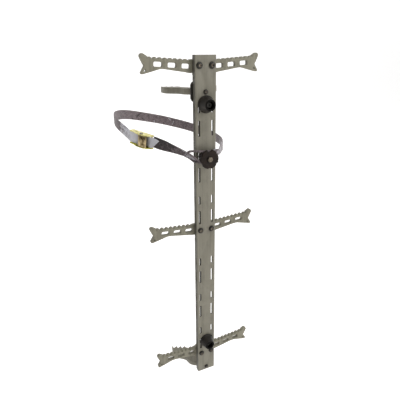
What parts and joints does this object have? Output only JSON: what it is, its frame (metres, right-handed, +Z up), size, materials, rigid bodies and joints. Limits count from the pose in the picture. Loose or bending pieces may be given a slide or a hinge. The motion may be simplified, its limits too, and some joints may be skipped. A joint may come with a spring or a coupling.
{
  "type": "climbing stick",
  "caption": "Climbing stick for a tree: a slotted beam with folding double steps, toothed tree brackets, nesting posts and a webbing strap with a cam buckle.",
  "frame": {"origin": "on the strap button's axis, at the front face of the beam", "axes": "+Z up along the beam, -Y out of its front face towards the climber, +Y towards the tree, +X to the right as the climber sees it"},
  "size_m": [0.287, 0.3911, 0.8181],
  "materials": {
    "olive_paint": "satin",
    "black_steel": "satin",
    "black_plastic": "matte",
    "plain_steel": "satin",
    "yellow_zinc": "polished",
    "webbing": "matte"
  },
  "bodies": {
    "frame": {"beam": "olive_paint", "step_bolts": "black_steel", "step_sleeves": "plain_steel", "step_shims": "black_plastic", "step_washers": "plain_steel", "step_nuts": "plain_steel", "step_stops": "plain_steel", "swivel_pad": "black_plastic", "swivel_spacer": "black_plastic", "bracket_screws": "black_steel", "bracket_nuts": "plain_steel", "post_top": "black_plastic", "post_low": "black_plastic", "post_screws": "black_steel", "post_nuts": "plain_steel", "strap_button": "black_plastic", "button_neck": "black_plastic", "button_bolt": "plain_steel", "button_nut": "plain_steel", "buckle_frame": "yellow_zinc", "buckle_cam_pin": "plain_steel", "buckle_spring": "plain_steel", "buckle_bar": "yellow_zinc", "buckle_guide": "yellow_zinc", "strap_long": "webbing", "strap_short": "webbing"},
    "step_top_left": {"step_top_left": "olive_paint"},
    "step_top_right": {"step_top_right": "olive_paint"},
    "step_mid_left": {"step_mid_left": "olive_paint"},
    "step_mid_right": {"step_mid_right": "olive_paint"},
    "step_low_left": {"step_low_left": "olive_paint"},
    "step_low_right": {"step_low_right": "olive_paint"},
    "bracket_top": {"bracket_top": "olive_paint"},
    "bracket_low": {"bracket_low": "olive_paint"},
    "cam": {"buckle_cam": "yellow_zinc"}
  },
  "joints": [
    {"name": "fold_top_left", "type": "hinge", "parent": "frame", "child": "step_top_left", "pos_m": [-0.014, 0.018, 0.19], "axis": [0, 1, 0], "range_deg": [0, 82]},
    {"name": "fold_top_right", "type": "hinge", "parent": "frame", "child": "step_top_right", "pos_m": [0.014, 0.018, 0.19], "axis": [0, -1, 0], "range_deg": [0, 82]},
    {"name": "fold_mid_left", "type": "hinge", "parent": "frame", "child": "step_mid_left", "pos_m": [-0.014, 0.018, -0.1745], "axis": [0, 1, 0], "range_deg": [0, 82]},
    {"name": "fold_mid_right", "type": "hinge", "parent": "frame", "child": "step_mid_right", "pos_m": [0.014, 0.018, -0.1745], "axis": [0, -1, 0], "range_deg": [0, 82]},
    {"name": "fold_low_left", "type": "hinge", "parent": "frame", "child": "step_low_left", "pos_m": [-0.014, 0.018, -0.539], "axis": [0, 1, 0], "range_deg": [0, 82]},
    {"name": "fold_low_right", "type": "hinge", "parent": "frame", "child": "step_low_right", "pos_m": [0.014, 0.018, -0.539], "axis": [0, -1, 0], "range_deg": [0, 82]},
    {"name": "swivel_top", "type": "hinge", "parent": "frame", "child": "bracket_top", "pos_m": [0, 0.03, 0.1385], "axis": [0, 1, 0], "range_deg": [0, 90]},
    {"name": "swivel_low", "type": "hinge", "parent": "frame", "child": "bracket_low", "pos_m": [0, 0.03, -0.5905], "axis": [0, 1, 0], "range_deg": [0, 90]},
    {"name": "cam_open", "type": "hinge", "parent": "frame", "child": "cam", "pos_m": [-0.11085, 0.11682, 0.02644], "axis": [-0.0742, 0.1178, -0.9903], "range_deg": [0, 30], "stiffness_Nm_per_rad": 0.05, "springref_deg": -28.65}
  ]
}
